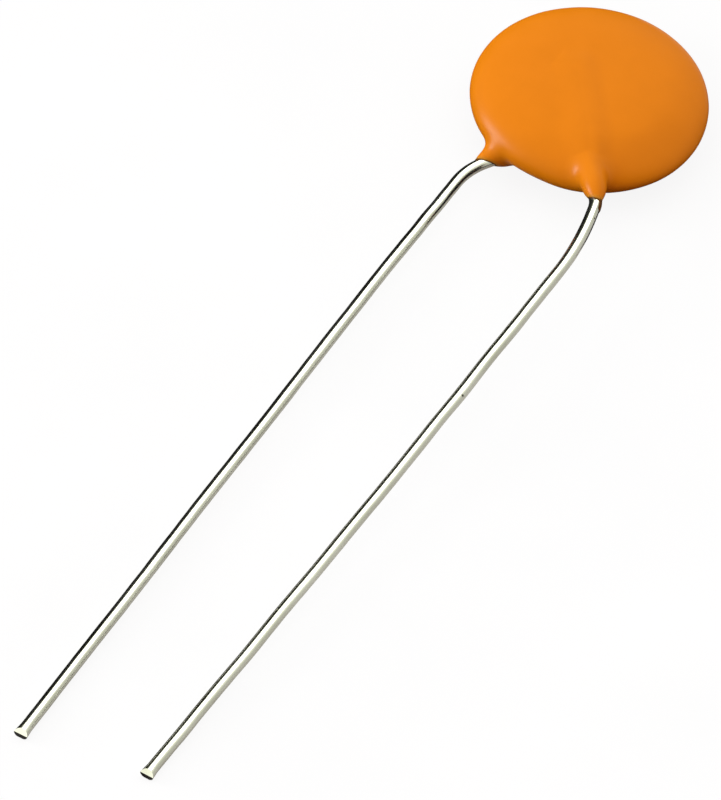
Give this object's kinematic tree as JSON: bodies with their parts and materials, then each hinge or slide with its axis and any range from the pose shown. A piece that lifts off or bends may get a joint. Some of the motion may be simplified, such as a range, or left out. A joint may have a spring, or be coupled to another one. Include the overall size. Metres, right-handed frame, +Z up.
{
  "type": "ceramic disc capacitor",
  "caption": "Radial-lead ceramic disc capacitor: a round resin-dipped disc with long tinned wire leads leaving its lower rim, lying flat.",
  "frame": {"origin": "middle of the footprint on the surface that the part lies on", "axes": "+Z up, the disc lying flat; the leads run from the disc towards -Y; +X to the right when the front face is seen from above"},
  "size_m": [0.0084, 0.0412, 0.0025],
  "materials": {
    "dipped_resin": "satin orange dipped resin, slightly waxy",
    "ceramic": "unglazed pressed and fired, matte",
    "fired_silver": "fired silver paste, satin",
    "solder": "reflowed solder, soft shine",
    "tinned_wire": "bright tin plating, drawn"
  },
  "bodies": {
    "root": {"coating": "dipped_resin", "ceramic": "ceramic", "electrode_front": "fired_silver", "electrode_rear": "fired_silver", "solder_front": "solder", "solder_rear": "solder", "lead_left": "tinned_wire", "lead_right": "tinned_wire"}
  },
  "joints": []
}
